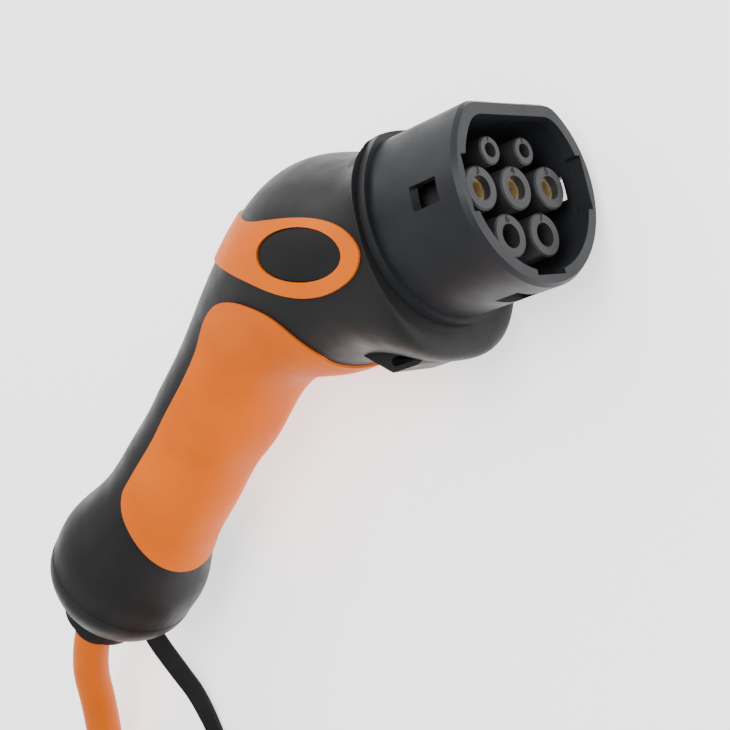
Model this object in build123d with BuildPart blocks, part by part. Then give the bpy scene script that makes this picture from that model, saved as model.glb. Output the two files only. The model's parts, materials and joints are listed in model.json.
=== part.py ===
"""EV charging plug (vehicle connector, seven-way D-shaped face) with its cable and tethered dust cap.

The plug lies on its left side on a flat surface.  +X is the way the nose points, +Y the side of the
housing's spine, +Z up.  Places along the plug are given from the datum, the point where the nose axis
meets the front faces of the contact towers.
"""
import os
from math import cos, sin, pi, radians, tan

from build123d import *

os.makedirs("parts", exist_ok=True)

# ---- driving dimensions, millimetres ----
DATUM = Vector(126.4, 36.75, 35.65)    # datum above the resting surface
NOSE_R, NOSE_FLAT = 31.5, 25.0       # D-shaped nose: radius and height of its flat
NOSE_WALL = 3.6
NOSE_TIP, NOSE_ROOT = 5.0, -42.0     # rim and hidden rear end of the nose
RIM_CHAMFER = 1.6
RECESS_FLOOR = -24.0                 # depth of the contact recess
TOWER_R, TOWER_BORE = 6.8, 3.75      # power towers
PILOT_R, PILOT_BORE = 4.45, 2.3      # signal towers
POWER_AT = {"n": (-16.0, 0.0), "pe": (0.0, 0.0), "l1": (16.0, 0.0)}
EMPTY_AT = [(-8.0, -14.6), (8.0, -14.6)]
PILOT_AT = {"cp": (-7.9, 11.5), "pp": (7.9, 11.5)}
SLEEVE_WALL = 0.7
SKIN = 0.8                           # orange overmoulding, standing proud of the black housing
BUTTON_AT = (-60.0, -1.5)            # centre of the oval button, in side view
BUTTON_LONG, BUTTON_SHORT = 18.2, 8.1
BUTTON_TILT = -16.5
BUTTON_GAP = 0.35
BUTTON_TRAVEL = 1.8
HANDLE_TILT = 33.0
SEAM_AT = (-229.0, -80.8)            # where the end cap meets the bulb
BULB_R = 29.4
CAP_LENGTH, CAP_END_R = 18.0, 15.0
GLAND_LENGTH, GLAND_R = 9.0, 12.5
SLEEVE_LENGTH, SLEEVE_R = 6.0, 9.4
CABLE_R = 7.25
COIL_MID_R, COIL_COLUMNS, COIL_LAYERS = 72.5, 2, 5
STRAP_WIDTH, STRAP_THICK = 8.0, 2.2
BUTTON_RECESS = 0.6                  # button faces lie this far under the surface of the band
BUTTON_DEPTH = 5.0
CAP_CENTRE = (-231.3, -188.2)        # dust cap, lying mouth down
CAP_R, CAP_FLAT, CAP_HEIGHT = 34.5, 28.5, 24.0
COIL_CENTRE = (-226.4, -313.75)
FERRULE_R = 1.9

# cable route from the gland's sleeve to the coil: x and y from the datum, height above the surface
# strap route in its own upright plane: distance along its heading, height above the surface
CABLE_ROUTE = [(-256.7, -98.8, 35.65), (-271.4, -111.5, 32.0), (-284.9, -130.7, 21.5), (-299.9, -153.7, 12.5),
               (-307.4, -183.7, 7.7), (-312.4, -218.7, 7.3), (-312.4, -251.7, 7.3), (-309.4, -283.7, 7.3),
               (-306.15, -313.75, 7.3)]
STRAP_ROUTE = [(-4.0, 19.85), (12.0, 17.4), (29.0, 10.6), (46.0, 2.9), (68.0, 1.15)]
STRAP_FROM, STRAP_HEADING = (-247.9, -93.1), -80.1

# cross-sections of the hand housing from its mouth to the bulb:
# centre x, centre y, tilt, half height to the spine, half height to the belly, half width, squareness
SECTIONS = [
    (-33.0, 0.0, 0.0, 30.0, 35.5, 35.4, 2.5),
    (-60.0, 0.0, 3.0, 33.0, 36.0, 35.4, 2.35),
    (-85.0, -2.0, 10.0, 34.2, 34.0, 34.2, 2.25),
    (-105.0, -8.0, 20.0, 30.0, 27.5, 29.5, 2.2),
    (-123.0, -14.5, 29.0, 25.0, 21.6, 24.8, 2.15),
    (-141.3, -24.8, 33.0, 22.3, 22.3, 22.3, 2.1),
    (-157.4, -35.2, 33.0, 21.9, 21.9, 22.0, 2.1),
    (-173.4, -45.4, 33.0, 22.0, 22.0, 22.0, 2.05),
    (-188.5, -55.0, 33.0, 22.7, 22.7, 22.7, 2.0),
    (-201.3, -63.0, 33.0, 24.4, 24.4, 24.4, 2.0),
    (-212.0, -70.0, 33.0, 28.2, 28.2, 28.2, 2.0),
    (-221.4, -75.9, 33.0, 30.0, 30.0, 29.8, 2.0),
    (SEAM_AT[0], SEAM_AT[1], 33.0, BULB_R, BULB_R, BULB_R, 2.0),
]


def across(x, y=0.0, tilt=0.0):
    """Plane square to the plug's axis: local x is down, local y towards the spine."""
    facing = (cos(radians(tilt)), sin(radians(tilt)), 0)
    return Plane(origin=DATUM + Vector(x, y, 0), x_dir=(0, 0, -1), z_dir=facing)


def along_handle(distance):
    """Plane square to the handle, this far past the end cap's seam, facing away from the nose."""
    back = Vector(-cos(radians(HANDLE_TILT)), -sin(radians(HANDLE_TILT)), 0)
    at = DATUM + Vector(SEAM_AT[0], SEAM_AT[1], 0) + back * distance
    return Plane(origin=at, x_dir=(0, 0, 1), z_dir=back)


side = Plane(origin=DATUM, x_dir=(1, 0, 0), z_dir=(0, 0, 1))


def section_points(up, down, half, power, count=20):
    """Points round a superellipse whose two halves may differ in height."""
    points = []
    for i in range(count):
        c, s = cos(2 * pi * i / count), sin(2 * pi * i / count)
        height = up if s > 0 else down
        y = height * abs(s) ** (2 / power) * (1 if s > 0 else -1)
        points.append((half * abs(c) ** (2 / power) * (1 if c > 0 else -1), y))
    return points


def hand_body(inset):
    """Solid of the hand housing, its whole surface moved in by inset."""
    with BuildPart() as body:
        for x, y, tilt, up, down, half, power in SECTIONS:
            with BuildSketch(across(x, y, tilt)):
                with BuildLine():
                    Spline(*section_points(up - inset, down - inset, half - inset, power), periodic=True)
                make_face()
        loft()
    return body.part


def d_shape(radius, flat, corner=9.0):
    """D-shaped face: a disc cut off straight on the spine side, with rounded corners."""
    with BuildSketch(mode=Mode.PRIVATE) as face:
        Circle(radius)
        with Locations((0, flat)):
            Rectangle(4 * radius, 2 * radius, align=(Align.CENTER, Align.MIN), mode=Mode.SUBTRACT)
        fillet(face.vertices().group_by(Axis.Y)[-1], corner)
    return face.sketch


def finish(piece, name, colour):
    piece.part.label = name
    piece.part.color = Color(*colour)
    export_step(piece.part, f"parts/{name}.step")


BLACK, ORANGE, RUBBER = (0.06, 0.06, 0.07), (0.85, 0.35, 0.06), (0.03, 0.03, 0.03)
BRASS, GREY = (0.75, 0.6, 0.3), (0.15, 0.15, 0.16)

outer = hand_body(SKIN / 2)
overmoulded = hand_body(-SKIN / 2)
button_skin = hand_body(BUTTON_RECESS - SKIN / 2)
button_hollow = hand_body(BUTTON_DEPTH)

# ---- nose shroud: D-shaped shell with a chamfered rim, keyed lip, windows and a seating flange ----
with BuildPart() as nose_shroud:
    with BuildSketch(across(NOSE_ROOT)):
        add(d_shape(NOSE_R, NOSE_FLAT))
    extrude(amount=NOSE_TIP - NOSE_ROOT)
    chamfer(nose_shroud.faces().sort_by(Axis.X)[-1].edges(), RIM_CHAMFER, 1.0)
    with BuildSketch(across(-32.8)):
        add(d_shape(NOSE_R + 1.9, NOSE_FLAT + 1.9))
    extrude(amount=3.0)
    with BuildSketch(across(NOSE_ROOT)):
        add(d_shape(NOSE_R - NOSE_WALL, NOSE_FLAT - NOSE_WALL))
    extrude(amount=NOSE_TIP - NOSE_ROOT - 4.0, mode=Mode.SUBTRACT)
    with BuildSketch(across(NOSE_TIP - 5.0)):
        add(d_shape(NOSE_R - NOSE_WALL - 0.9, NOSE_FLAT - NOSE_WALL - 0.9, 8.2))
        for angle, width in ((90, 15.0), (0, 17.0), (180, 17.0), (270, 13.0)):
            with Locations(Rotation(0, 0, angle)):
                with Locations((NOSE_FLAT if angle == 90 else NOSE_R - NOSE_WALL - 3.0, 0)):
                    Rectangle(2 * (0.2 if angle == 90 else 3.0), width)
    extrude(amount=6.0, mode=Mode.SUBTRACT)
    with BuildSketch(Plane(origin=DATUM + Vector(-8.5, 0.9, 0), x_dir=(1, 0, 0), z_dir=(0, 0, 1))):
        Rectangle(10.3, 7.3)
    extrude(amount=NOSE_R + 2, both=True, mode=Mode.SUBTRACT)
    with BuildSketch(Plane(origin=DATUM + Vector(-8.0, 0, 0), x_dir=(1, 0, 0), z_dir=(0, -1, 0))):
        Rectangle(9.0, 14.0)
    extrude(amount=NOSE_R + 2, mode=Mode.SUBTRACT)
finish(nose_shroud, "nose_shroud", BLACK)

# ---- sealing ring between the nose and the housing's mouth ----
with BuildPart() as nose_gasket:
    with BuildSketch(across(-34.6)):
        add(d_shape(NOSE_R + 2.0, NOSE_FLAT + 2.0))
        add(d_shape(NOSE_R, NOSE_FLAT), mode=Mode.SUBTRACT)
    extrude(amount=1.8)
finish(nose_gasket, "nose_gasket", RUBBER)

# ---- contact insulator: floor plate and seven towers in one moulding ----
towers = [(p, TOWER_R, TOWER_BORE) for p in list(POWER_AT.values()) + EMPTY_AT]
towers += [(p, PILOT_R, PILOT_BORE) for p in PILOT_AT.values()]
with BuildPart() as contact_insulator:
    with BuildSketch(across(RECESS_FLOOR - 4.0)):
        add(d_shape(NOSE_R - NOSE_WALL, NOSE_FLAT - NOSE_WALL))
    extrude(amount=4.0)
    for place, radius, bore in towers:
        with BuildSketch(across(RECESS_FLOOR)):
            with Locations(place):
                Circle(radius)
        extrude(amount=-RECESS_FLOOR)
    front_rims = contact_insulator.faces().filter_by(Plane.YZ).sort_by(Axis.X)[-7:]
    chamfer(front_rims.edges(), 0.5)
    for place, radius, bore in towers:
        with BuildSketch(across(RECESS_FLOOR + 2.0)):
            with Locations(place):
                Circle(bore)
        extrude(amount=-RECESS_FLOOR, mode=Mode.SUBTRACT)
finish(contact_insulator, "contact_insulator", GREY)

# ---- contacts: split sleeves of turned brass, set back in their towers ----
contacts = [(n, p, TOWER_BORE, 2.5) for n, p in POWER_AT.items()]
contacts += [(n, p, PILOT_BORE, 3.5) for n, p in PILOT_AT.items()]
for name, place, bore, setback in contacts:
    with BuildPart() as contact:
        with BuildSketch(across(RECESS_FLOOR + 2.0)):
            with Locations(place):
                Circle(bore)
                Circle(bore - SLEEVE_WALL, mode=Mode.SUBTRACT)
        extrude(amount=-RECESS_FLOOR - 2.0 - setback)
        with BuildSketch(across(RECESS_FLOOR + 9.0)):
            with Locations(place):
                Rectangle(0.7, 4 * bore)
        extrude(amount=-RECESS_FLOOR, mode=Mode.SUBTRACT)
    finish(contact, f"contact_{name}", BRASS)

# ---- retainer plate that locks the insulator in the nose ----
with BuildPart() as contact_retainer:
    with BuildSketch(across(RECESS_FLOOR - 8.0)):
        add(d_shape(NOSE_R - NOSE_WALL, NOSE_FLAT - NOSE_WALL))
    extrude(amount=4.0)
finish(contact_retainer, "contact_retainer", GREY)

# ---- outlines of the coloured pieces in side view ----
with BuildPart() as grip_prism:
    with BuildSketch(side):
        with BuildLine():
            start = Line((-187.0, -52.0), (-131.5, -15.8))
            crest = Spline(start @ 1, (-121.5, -7.8), (-112.0, -4.4), (-101.0, -5.4), (-87.0, -11.6),
                           (-78.6, -19.8), (-75.8, -30.0), (-77.5, -48.0), tangents=(start % 1, (0, -1)))
            Polyline(crest @ 1, (-120.0, -120.0), (-185.0, -120.0), (-190.0, -85.0))
            Spline((-190.0, -85.0), (-191.2, -66.0), (-190.8, -58.5), start @ 0,
                   tangents=((-0.1, 1), start % 0))
        make_face()
    extrude(amount=60, both=True)

with BuildPart() as band_prism:
    with BuildSketch(side):
        with BuildLine():
            top = Line((-128.0, 42.0), (-87.0, 18.2))
            nose_end = Spline(top @ 1, (-72.0, 13.2), (-54.0, 8.4), (-43.0, 3.2), (-36.4, -3.0),
                              (-35.0, -8.0), (-38.0, -12.4), (-46.0, -15.4), (-56.0, -15.8), (-66.5, -13.4),
                              (-77.0, -8.2), (-88.0, -1.4), tangents=(top % 1, (-41.0, 24.0)))
            Polyline(nose_end @ 1, (-140.0, 29.0), top @ 0)
        make_face()
    extrude(amount=60, both=True)


def button_face(gap):
    """Oval of the button in side view, grown all round by gap."""
    with BuildSketch(Plane(side.origin + Vector(*BUTTON_AT, 0)).rotated((0, 0, BUTTON_TILT)), mode=Mode.PRIVATE) as face:
        Ellipse(BUTTON_LONG + gap, BUTTON_SHORT + gap)
    return face.sketch


with BuildPart() as button_shaft:
    add(button_face(BUTTON_GAP))
    extrude(amount=60, both=True)

# ---- soft grip: orange overmoulding round the belly and both sides of the handle ----
with BuildPart() as grip:
    add(overmoulded)
    add(grip_prism.part, mode=Mode.INTERSECT)
    add(outer, mode=Mode.SUBTRACT)
finish(grip, "grip", ORANGE)

# ---- accent band: orange saddle over the spine whose ends frame the two buttons ----
with BuildPart() as accent_band:
    add(overmoulded)
    add(band_prism.part, mode=Mode.INTERSECT)
    add(outer, mode=Mode.SUBTRACT)
    add(button_shaft.part, mode=Mode.SUBTRACT)
finish(accent_band, "accent_band", ORANGE)

# ---- hand housing: black moulding, split in two halves on the plug's mid-plane ----
for name, keep in (("housing_right", Keep.TOP), ("housing_left", Keep.BOTTOM)):
    with BuildPart() as half:
        add(outer)
        with BuildSketch(across(NOSE_ROOT)):
            add(d_shape(NOSE_R, NOSE_FLAT))
        extrude(amount=20, mode=Mode.SUBTRACT)
        with BuildSketch(across(-34.6)):
            add(d_shape(NOSE_R + 2.0, NOSE_FLAT + 2.0))
        extrude(amount=20, mode=Mode.SUBTRACT)
        add(button_shaft.part, mode=Mode.SUBTRACT)
        split(bisect_by=side, keep=keep)
    finish(half, name, BLACK)
    print(name, "volume", round(half.part.volume))

# ---- lanyard eye under the mouth of the housing: a low bridge with a slot through it ----
with BuildPart() as lanyard_eye:
    with BuildSketch(side):
        with BuildLine():
            FilletPolyline((-37.5, -33.4), (-38.5, -38.5), (-46.0, -41.6), (-57.0, -41.6),
                           (-68.0, -33.2), radius=2.0)
            Line((-68.0, -33.2), (-37.5, -33.4))
        make_face()
    extrude(amount=9, both=True)
    add(outer, mode=Mode.SUBTRACT)
    with BuildSketch(side):
        with Locations((-50.5, -38.4)):
            SlotOverall(12.0, 3.0)
    extrude(amount=20, both=True, mode=Mode.SUBTRACT)
finish(lanyard_eye, "lanyard_eye", BLACK)

# ---- buttons: oval caps, one on each side, each with a stem that reaches the switch ----
for name, keep, sign in (("button_right", Keep.TOP, 1), ("button_left", Keep.BOTTOM, -1)):
    with BuildPart() as button:
        add(button_face(0.0))
        extrude(amount=60, both=True)
        add(button_skin, mode=Mode.INTERSECT)
        add(button_hollow, mode=Mode.SUBTRACT)
        split(bisect_by=side, keep=keep)
        with BuildSketch(Plane(DATUM + Vector(*BUTTON_AT, sign * 10.5))):
            Circle(3.0)
        extrude(amount=sign * 21.5)
    finish(button, name, BLACK)

# ---- switch block on the mid-plane, between the two stems, held by the wall of the button shaft ----
with BuildPart() as switch_block:
    add(button_face(BUTTON_GAP))
    extrude(amount=8.5, both=True)
finish(switch_block, "switch_block", GREY)

# ---- end cap that closes the bulb ----
with BuildPart() as end_cap:
    with BuildSketch(Plane(along_handle(0).origin, x_dir=along_handle(0).x_dir, z_dir=(-along_handle(0).y_dir))):
        with BuildLine():
            Polyline((0, 0), (BULB_R - 0.3, 0), (BULB_R - 0.3, 1.0))
            Spline((BULB_R - 0.3, 1.0), (BULB_R - 4.0, 10.5), (CAP_END_R, CAP_LENGTH),
                   tangents=((-0.05, 1), (-1, 0.15)))
            Polyline((CAP_END_R, CAP_LENGTH), (0, CAP_LENGTH), (0, 0))
        make_face()
    revolve(axis=Axis(along_handle(0).origin, along_handle(0).z_dir))
finish(end_cap, "end_cap", BLACK)

# ---- cable gland: nut and rubber sleeve ----
with BuildPart() as gland_nut:
    with BuildSketch(along_handle(CAP_LENGTH)):
        Circle(GLAND_R)
    extrude(amount=GLAND_LENGTH)
    fillet(gland_nut.faces().sort_by(Axis(along_handle(0).origin, along_handle(0).z_dir))[-1].edges(), 1.8)
finish(gland_nut, "gland_nut", BLACK)

with BuildPart() as gland_sleeve:
    with BuildSketch(along_handle(CAP_LENGTH + GLAND_LENGTH)):
        Circle(SLEEVE_R)
    extrude(amount=SLEEVE_LENGTH, taper=6)
finish(gland_sleeve, "gland_sleeve", RUBBER)


def on_surface(x, y, height=0.0):
    """Point at this place from the datum and this height above the resting surface."""
    return Vector(DATUM.X + x, DATUM.Y + y, height)


def route_radii(points):
    """Largest even bend at each corner of a route, from its shorter run and its turn."""
    radii = []
    for before, at, after in zip(points, points[1:], points[2:]):
        into, out = at - before, after - at
        turn = radians(into.get_angle(out))
        radii.append(0.45 * min(into.length, out.length) / tan(turn / 2))
    print("bend radii", [round(r) for r in radii])
    return radii


# ---- charging cable: the stretch from the gland down to the surface and on to the coil ----
cable_points = [on_surface(*point) for point in CABLE_ROUTE]
with BuildPart() as cable:
    with BuildLine():
        run = FilletPolyline(*cable_points, radius=route_radii(cable_points))
    with BuildSketch(Plane(origin=run @ 0, z_dir=run % 0)):
        Circle(CABLE_R)
    sweep(path=run)
print("cable volume over section x length", cable.part.volume / (pi * CABLE_R**2 * run.length), run.length)
finish(cable, "cable", ORANGE)

# ---- the rest of the cable, wound flat for storage: outer shape of ten turns ----
with BuildPart() as cable_coil:
    with BuildSketch(Plane(origin=on_surface(*COIL_CENTRE))):
        Circle(COIL_MID_R + COIL_COLUMNS * CABLE_R)
        Circle(COIL_MID_R - COIL_COLUMNS * CABLE_R, mode=Mode.SUBTRACT)
    extrude(amount=COIL_LAYERS * 2 * CABLE_R)
finish(cable_coil, "cable_coil", ORANGE)

# ---- free end of the cable on top of the coil: sealing boot and stripped cores with ferrules ----
coil_top = COIL_LAYERS * 2 * CABLE_R + CABLE_R
end_at = on_surface(COIL_CENTRE[0], COIL_CENTRE[1] - COIL_MID_R, coil_top)
with BuildPart() as cable_end:
    with BuildSketch(Plane(origin=end_at, x_dir=(0, 1, 0), z_dir=(1, 0, 0))):
        Circle(CABLE_R)
    extrude(amount=-24)
    with BuildSketch(Plane(origin=end_at, x_dir=(0, 1, 0), z_dir=(1, 0, 0))):
        with GridLocations(5.4, 5.4, 2, 2):
            Circle(FERRULE_R)
    extrude(amount=26)
finish(cable_end, "cable_end", RUBBER)

# ---- tether: loop round the gland nut, flat strap down to the surface ----
with BuildPart() as strap_loop:
    with BuildSketch(along_handle(CAP_LENGTH + 0.5)):
        Circle(GLAND_R + STRAP_THICK)
        Circle(GLAND_R, mode=Mode.SUBTRACT)
    extrude(amount=STRAP_WIDTH - 0.5)
finish(strap_loop, "strap_loop", RUBBER)

heading = Vector(cos(radians(STRAP_HEADING)), sin(radians(STRAP_HEADING)), 0)
strap_points = [on_surface(*STRAP_FROM, h) + heading * s for s, h in STRAP_ROUTE]
with BuildPart() as strap:
    with BuildLine():
        fall = FilletPolyline(*strap_points, radius=route_radii(strap_points))
    with BuildSketch(Plane(origin=fall @ 0, x_dir=heading.cross(Vector(0, 0, 1)), z_dir=fall % 0)):
        Rectangle(STRAP_WIDTH, STRAP_THICK)
    sweep(path=fall)
print("strap volume over section x length", strap.part.volume / (STRAP_WIDTH * STRAP_THICK * fall.length))
finish(strap, "strap", RUBBER)

# ---- dust cap: D-shaped rubber cup on the end of the strap, its flat towards the strap ----
cap_plane = Plane(origin=on_surface(*CAP_CENTRE), x_dir=heading.cross(Vector(0, 0, 1)), z_dir=(0, 0, 1))
with BuildPart() as dust_cap:
    with BuildSketch(cap_plane):
        add(d_shape(CAP_R, CAP_FLAT, 11.0))
    extrude(amount=CAP_HEIGHT)
    fillet(dust_cap.faces().sort_by(Axis.Z)[-1].edges(), 3.0)
    with BuildSketch(cap_plane):
        add(d_shape(CAP_R - 2.4, CAP_FLAT - 2.4, 9.0))
    extrude(amount=CAP_HEIGHT - 3.0, mode=Mode.SUBTRACT)
finish(dust_cap, "dust_cap", RUBBER)
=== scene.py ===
import json
from math import cos, pi, radians, sin

import bmesh
import bpy
from mathutils import Matrix, Vector


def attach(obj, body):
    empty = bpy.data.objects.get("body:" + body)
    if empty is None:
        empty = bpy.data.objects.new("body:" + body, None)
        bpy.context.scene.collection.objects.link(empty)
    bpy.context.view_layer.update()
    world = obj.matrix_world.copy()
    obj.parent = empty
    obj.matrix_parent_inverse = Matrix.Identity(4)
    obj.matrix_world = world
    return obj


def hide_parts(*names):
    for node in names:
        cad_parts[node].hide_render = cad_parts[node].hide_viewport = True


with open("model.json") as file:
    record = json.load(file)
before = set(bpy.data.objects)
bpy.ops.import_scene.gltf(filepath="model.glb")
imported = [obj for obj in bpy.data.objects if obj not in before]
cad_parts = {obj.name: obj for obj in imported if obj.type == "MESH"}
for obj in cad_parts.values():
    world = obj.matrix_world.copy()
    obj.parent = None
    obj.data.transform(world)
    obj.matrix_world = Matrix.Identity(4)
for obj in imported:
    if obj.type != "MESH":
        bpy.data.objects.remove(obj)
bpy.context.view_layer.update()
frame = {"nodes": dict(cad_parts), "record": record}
nodes = frame["nodes"]

# ---- The datum and the camera ----
# All places are counted from the datum, where the nose axis meets the contact towers' front faces.
# The camera looks down past the nose at the plug, which lies on its left side.
NOSE_RIM = 0.005
SENSOR_MM, LENS_MM = 36.0, 77.35
nose_face = next(m for m in frame["record"]["mounts"] if m["name"] == "nose_face")
datum = Vector(nose_face["pos_m"]) - Vector((NOSE_RIM, 0, 0))

camera_data = bpy.data.cameras.new("camera")
camera_data.sensor_width = SENSOR_MM
camera_data.lens = LENS_MM
camera = bpy.data.objects.new("camera", camera_data)
bpy.context.scene.collection.objects.link(camera)
look_right = Vector((0.682, -0.227, -0.695)).normalized()
look_back = Vector((0.691, -0.110, 0.715)).normalized()
look_up = look_back.cross(look_right).normalized()
camera_place = datum + Vector((0.2752, -0.0909, 0.3640))
camera_turn = Matrix((look_right, look_up, look_back)).transposed().to_4x4()
camera.matrix_world = Matrix.Translation(camera_place) @ camera_turn
bpy.context.scene.camera = camera

# ---- Charging cable ----
# Orange cable in an extruded sheath. It leaves the gland and comes down to the surface. Its stored
# length is wound in a round coil of two columns and five layers, and the free end lies on top.
CABLE_D = 0.0145
COIL_CENTRE = Vector((datum.x - 0.2264, datum.y - 0.31375, 0))
COIL_MID_R, COIL_LAYERS = 0.0725, 5
TURN_POINTS = 16         # control points in a turn
CROSSING_POINTS = 4      # the last ones of each turn, where the cable crosses to the next place
CONTROL_REACH = 1.008    # the curve runs inside its control points by this much
END_DEGREES = (180, 202, 224, 240)
cable_route = [(-0.2567, -0.0988, 0.03565), (-0.2714, -0.1115, 0.0320), (-0.2849, -0.1307, 0.0215),
               (-0.2999, -0.1537, 0.0125), (-0.3074, -0.1837, 0.0077), (-0.3124, -0.2187, 0.0073),
               (-0.3124, -0.2517, 0.0073), (-0.3094, -0.2837, 0.0073)]


def add_material(name):
    """New node material with its shader and the coordinates of the object."""
    material = bpy.data.materials.new(name)
    material.use_nodes = True
    shader = material.node_tree.nodes["Principled BSDF"]
    coords = material.node_tree.nodes.new("ShaderNodeTexCoord")
    return material, shader, coords.outputs["Object"]


def add_noise(material, vector, scale, detail=3.0):
    noise = material.node_tree.nodes.new("ShaderNodeTexNoise")
    noise.inputs["Scale"].default_value = scale
    noise.inputs["Detail"].default_value = detail
    material.node_tree.links.new(vector, noise.inputs["Vector"])
    return noise.outputs["Fac"]


def add_ramp(material, value, low, high):
    """Colour that goes from low to high as the value rises."""
    ramp = material.node_tree.nodes.new("ShaderNodeValToRGB")
    start, end = ramp.color_ramp.elements
    start.position, end.position = 0.3, 0.7
    start.color, end.color = (*low, 1), (*high, 1)
    material.node_tree.links.new(value, ramp.inputs["Fac"])
    return ramp.outputs["Color"]


def add_bump(material, shader, value, strength, distance):
    bump = material.node_tree.nodes.new("ShaderNodeBump")
    bump.inputs["Strength"].default_value = strength
    bump.inputs["Distance"].default_value = distance
    material.node_tree.links.new(value, bump.inputs["Height"])
    material.node_tree.links.new(bump.outputs["Normal"], shader.inputs["Normal"])


CLOUD_SCALE, PATCH_SCALE = 45, 120


def moulded_finish(name, dark, light, rough, grain, grain_depth=0.00006, gloss=0.2):
    """Moulded plastic or rubber: soft cloudy colour and a fine spark-eroded grain."""
    material, shader, coords = add_material(name)
    link = material.node_tree.links.new
    cloud = add_noise(material, coords, CLOUD_SCALE, 4.0)
    link(add_ramp(material, cloud, dark, light), shader.inputs["Base Color"])
    patch = add_noise(material, coords, PATCH_SCALE, 3.0)
    rough_low, rough_high = (rough - 0.05,) * 3, (rough + 0.07,) * 3
    link(add_ramp(material, patch, rough_low, rough_high), shader.inputs["Roughness"])
    add_bump(material, shader, add_noise(material, coords, grain, 2.0), 0.5, grain_depth)
    shader.inputs["Specular IOR Level"].default_value = gloss
    return material


sheath_finish = moulded_finish("orange_cable_sheath", (0.60, 0.110, 0.0003), (0.68, 0.135, 0.0005),
                               0.45, 900, gloss=0.1)


def cord_curve(name, points, diameter):
    """Smooth open NURBS curve through its control points, with a round section."""
    curve = bpy.data.curves.new(name, "CURVE")
    curve.dimensions = "3D"
    spline = curve.splines.new("NURBS")
    spline.points.add(len(points) - 1)
    for point, place in zip(spline.points, points):
        point.co = (*place, 1)
    spline.order_u = 3
    spline.use_endpoint_u = True
    spline.resolution_u = 6
    curve.bevel_depth = diameter / 2
    curve.bevel_resolution = 7
    curve.use_fill_caps = True
    piece = bpy.data.objects.new(name, curve)
    bpy.context.scene.collection.objects.link(piece)
    return piece


cable_points = [Vector((datum.x + x, datum.y + y, z)) for x, y, z in cable_route]
outer_r, inner_r = COIL_MID_R + CABLE_D / 2, COIL_MID_R - CABLE_D / 2
turn_radii = []
for layer in range(COIL_LAYERS):
    turn_radii += [outer_r, inner_r] if layer % 2 == 0 else [inner_r, outer_r]
turns = len(turn_radii)
turn_radii.append(COIL_MID_R)
for step in range(turns * TURN_POINTS):
    turn, part = divmod(step, TURN_POINTS)
    crossed = max(0.0, part - (TURN_POINTS - CROSSING_POINTS)) / CROSSING_POINTS
    layer, next_layer = turn // 2, (turn + 1) // 2
    radius = (turn_radii[turn] + (turn_radii[turn + 1] - turn_radii[turn]) * crossed) * CONTROL_REACH
    height = CABLE_D * (0.5 + layer + (next_layer - layer) * crossed)
    angle = pi + 2 * pi * step / TURN_POINTS
    cable_points.append(COIL_CENTRE + Vector((radius * cos(angle), radius * sin(angle), height)))
end_height = CABLE_D * (COIL_LAYERS + 0.5)
for angle in map(radians, END_DEGREES):
    end_place = Vector((COIL_MID_R * cos(angle), COIL_MID_R * sin(angle), end_height))
    cable_points.append(COIL_CENTRE + end_place)
cable_points.append(COIL_CENTRE + Vector((-0.024, -COIL_MID_R, end_height)))
cable = cord_curve("charging_cable", cable_points, CABLE_D)
cable.data.materials.append(sheath_finish)
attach(cable, "plug")
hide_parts("cable", "cable_coil")

# ---- Tether strap ----
# Flat rubber strap that ties the dust cap to the gland. It hangs from its loop, turning as it goes,
# and lies down flat at the cap.
STRAP_WIDTH, STRAP_THICK = 0.008, 0.0022
STRAP_HEADING = radians(-80.1)
STRAP_ROLL = [-0.75, -0.75, -0.7, -0.45, 0.0]
strap_heading = Vector((cos(STRAP_HEADING), sin(STRAP_HEADING), 0))
strap_start = Vector((datum.x - 0.2479, datum.y - 0.0931, 0))
strap_route = [(-0.004, 0.01985), (0.012, 0.0174), (0.029, 0.0106), (0.046, 0.0029), (0.068, 0.00115)]
strap_points = [strap_start + strap_heading * s + Vector((0, 0, h)) for s, h in strap_route]
strap = cord_curve("tether_strap", strap_points, STRAP_THICK)
strap.data.extrude = STRAP_WIDTH / 2 - STRAP_THICK / 2
strap.data.twist_mode = "Z_UP"
for point, roll in zip(strap.data.splines[0].points, STRAP_ROLL):
    point.tilt = pi / 2 + roll
rubber_finish = moulded_finish("black_rubber", (0.004, 0.004, 0.0042), (0.008, 0.008, 0.0084),
                               0.5, 1400)
strap.data.materials.append(rubber_finish)
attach(strap, "plug")
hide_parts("strap")


def dress(names, material):
    """Gives CAD nodes their finish."""
    for name in names:
        nodes[name].data.materials.clear()
        nodes[name].data.materials.append(material)


# ---- Dust cap, loop, sleeve, gasket and the cable's free end ----
# All moulded in the strap's black rubber.
dress(("dust_cap", "strap_loop", "gland_sleeve", "nose_gasket", "cable_end"), rubber_finish)

# ---- Nose shroud ----
# Glass-filled polyamide moulding, slightly bluish and smoother than the housing.
nose_finish = moulded_finish("nose_plastic", (0.011, 0.0116, 0.0135), (0.018, 0.019, 0.0215),
                             0.42, 2600, 0.00003)
dress(("nose_shroud",), nose_finish)

# ---- Housing, end cap, gland nut and buttons ----
# Matte black moulded nylon with a fine spark-eroded grain. The buttons are a little smoother.
housing_finish = moulded_finish("housing_plastic", (0.0075, 0.0075, 0.0079), (0.0135, 0.0135, 0.014),
                                0.46, 2200)
dress(("housing_right", "housing_left", "end_cap", "gland_nut", "lanyard_eye"), housing_finish)
button_finish = moulded_finish("button_plastic", (0.006, 0.006, 0.0063), (0.010, 0.010, 0.0106),
                               0.4, 2600)
dress(("button_right", "button_left"), button_finish)

# ---- Grip and accent band ----
# Orange soft-touch elastomer moulded over the black housing.
grip_finish = moulded_finish("orange_soft_touch", (0.62, 0.110, 0.0003), (0.70, 0.135, 0.0005),
                             0.5, 2000, 0.00004, gloss=0.1)
dress(("grip", "accent_band"), grip_finish)

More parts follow.
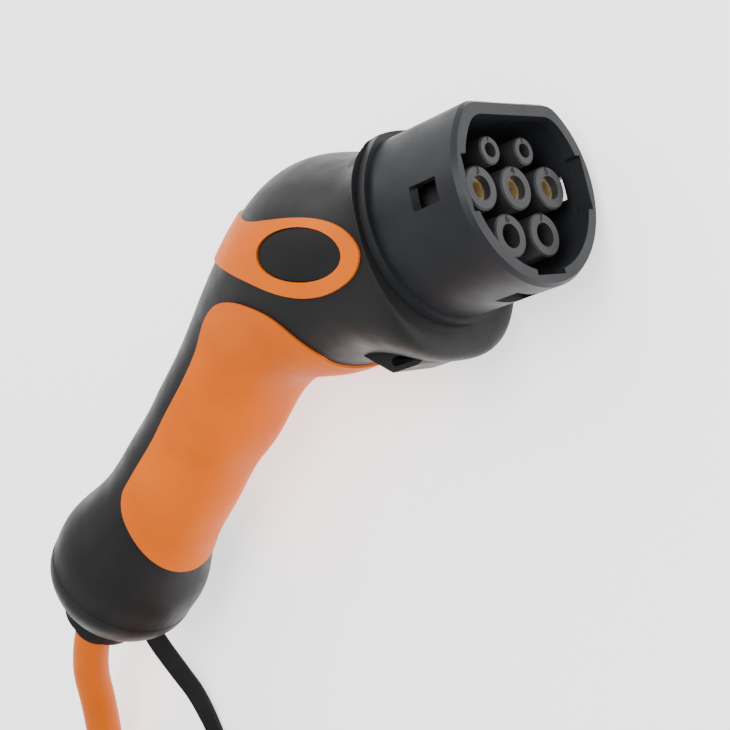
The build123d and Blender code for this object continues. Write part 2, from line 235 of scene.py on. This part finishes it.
# ---- Contact insulator, retainer and switch block ----
# Smooth dark grey thermoplastic, a little lighter than the nose round it.
insulator_finish = moulded_finish("insulator_plastic", (0.022, 0.022, 0.0235), (0.034, 0.034, 0.037),
                                  0.36, 3000, 0.00002)
dress(("contact_insulator", "contact_retainer", "switch_block"), insulator_finish)

# ---- Way numbers ----
# Plain numbers 1 to 7 in black on the tower faces, barely proud, on the spine side of each bore.
# A tower's place is across the nose and towards the spine. Its face gives the number's distance
# from the bore's axis and its height.
number_finish = moulded_finish("number_plastic", (0.001, 0.001, 0.0011), (0.002, 0.002, 0.0021),
                               0.6, 3000, 0.00001)
DIGIT_PROUD, DIGIT_BOLD = 0.0001, 0.00006
FONT_SIZE_PER_HEIGHT = 1.4
POWER_FACE, SIGNAL_FACE = (0.0052, 0.0024), (0.0033, 0.0014)
tower_places = [(-0.0079, 0.0115, SIGNAL_FACE), (0.0079, 0.0115, SIGNAL_FACE),
                (-0.016, 0, POWER_FACE), (0, 0, POWER_FACE), (0.016, 0, POWER_FACE),
                (-0.008, -0.0146, POWER_FACE), (0.008, -0.0146, POWER_FACE)]
face_forward = Matrix(((0, 0, 1), (0, 1, 0), (-1, 0, 0))).to_4x4()
number_shape = bmesh.new()
for number, (across, towards_spine, (reach, height)) in enumerate(tower_places, start=1):
    digit_text = bpy.data.curves.new("digit", "FONT")
    digit_text.body = str(number)
    digit_text.size = height * FONT_SIZE_PER_HEIGHT
    digit_text.offset = DIGIT_BOLD
    digit_text.extrude = DIGIT_PROUD
    digit_text.align_x = "CENTER"
    digit_text.align_y = "CENTER"
    digit_object = bpy.data.objects.new("digit", digit_text)
    digit = bpy.data.meshes.new_from_object(digit_object)
    digit_place = datum + Vector((0, towards_spine + reach, -across))
    digit.transform(Matrix.Translation(digit_place) @ face_forward)
    number_shape.from_mesh(digit)
    bpy.data.objects.remove(digit_object)
    bpy.data.meshes.remove(digit)
bmesh.ops.remove_doubles(number_shape, verts=number_shape.verts, dist=1e-7)
number_mesh = bpy.data.meshes.new("way_numbers")
number_shape.to_mesh(number_mesh)
number_shape.free()
number_mesh.materials.append(number_finish)
way_numbers = bpy.data.objects.new("way_numbers", number_mesh)
bpy.context.scene.collection.objects.link(way_numbers)
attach(way_numbers, "plug")

# ---- Contacts ----
# Split sleeves turned from brass, with fine turning rings along their bores.
RING_SCALE = 900
brass_finish, brass_shader, brass_coords = add_material("turned_brass")
rings = brass_finish.node_tree.nodes.new("ShaderNodeTexWave")
rings.bands_direction = "X"
rings.inputs["Scale"].default_value = RING_SCALE
rings.inputs["Distortion"].default_value = 0.6
brass_finish.node_tree.links.new(brass_coords, rings.inputs["Vector"])
brass_tone = add_noise(brass_finish, brass_coords, 300, 3.0)
brass_colour = add_ramp(brass_finish, brass_tone, (0.76, 0.58, 0.30), (0.90, 0.74, 0.46))
brass_finish.node_tree.links.new(brass_colour, brass_shader.inputs["Base Color"])
brass_shader.inputs["Metallic"].default_value = 0.8
brass_shader.inputs["Roughness"].default_value = 0.35
add_bump(brass_finish, brass_shader, rings.outputs["Fac"], 0.3, 0.00003)
dress(("contact_n", "contact_pe", "contact_l1", "contact_cp", "contact_pp"), brass_finish)

# ---- Floor and light ----
# Pale studio floor that glows faintly, a bright even surround, and two soft boxes above the plug, one
# on the spine side and one over the nose.
FLOOR_HALF, FLOOR_GLOW, WORLD_STRENGTH = 4.0, 1.3, 0.85
floor_mesh = bpy.data.meshes.new("studio_floor")
floor_shape = bmesh.new()
bmesh.ops.create_grid(floor_shape, x_segments=1, y_segments=1, size=FLOOR_HALF)
floor_shape.to_mesh(floor_mesh)
floor_shape.free()
floor = bpy.data.objects.new("studio_floor", floor_mesh)
bpy.context.scene.collection.objects.link(floor)
floor_finish, floor_shader, floor_coords = add_material("pale_floor")
floor_tone = add_noise(floor_finish, floor_coords, 2.0)
floor_colour = add_ramp(floor_finish, floor_tone, (0.92, 0.92, 0.92), (0.94, 0.94, 0.94))
floor_finish.node_tree.links.new(floor_colour, floor_shader.inputs["Base Color"])
floor_shader.inputs["Roughness"].default_value = 0.9
floor_shader.inputs["Emission Color"].default_value = (1, 1, 1, 1)
floor_shader.inputs["Emission Strength"].default_value = FLOOR_GLOW
floor_mesh.materials.append(floor_finish)

world = bpy.data.worlds.new("studio")
bpy.context.scene.world = world
world.use_nodes = True
world.node_tree.nodes["Background"].inputs["Color"].default_value = (1, 1, 1, 1)
world.node_tree.nodes["Background"].inputs["Strength"].default_value = WORLD_STRENGTH


def soft_box(name, place, aim, size, power):
    """Square area light that faces a point."""
    data = bpy.data.lights.new(name, "AREA")
    data.size = size
    data.energy = power
    light = bpy.data.objects.new(name, data)
    bpy.context.scene.collection.objects.link(light)
    light.location = place
    light.rotation_euler = (Vector(aim) - Vector(place)).to_track_quat("-Z", "Y").to_euler()


plug_middle = datum + Vector((-0.12, -0.04, 0))
soft_box("spine_light", plug_middle + Vector((-0.3, 0.9, 0.7)), plug_middle, 0.9, 8)
soft_box("nose_light", plug_middle + Vector((0.5, 0.2, 1.0)), plug_middle, 0.6, 12)
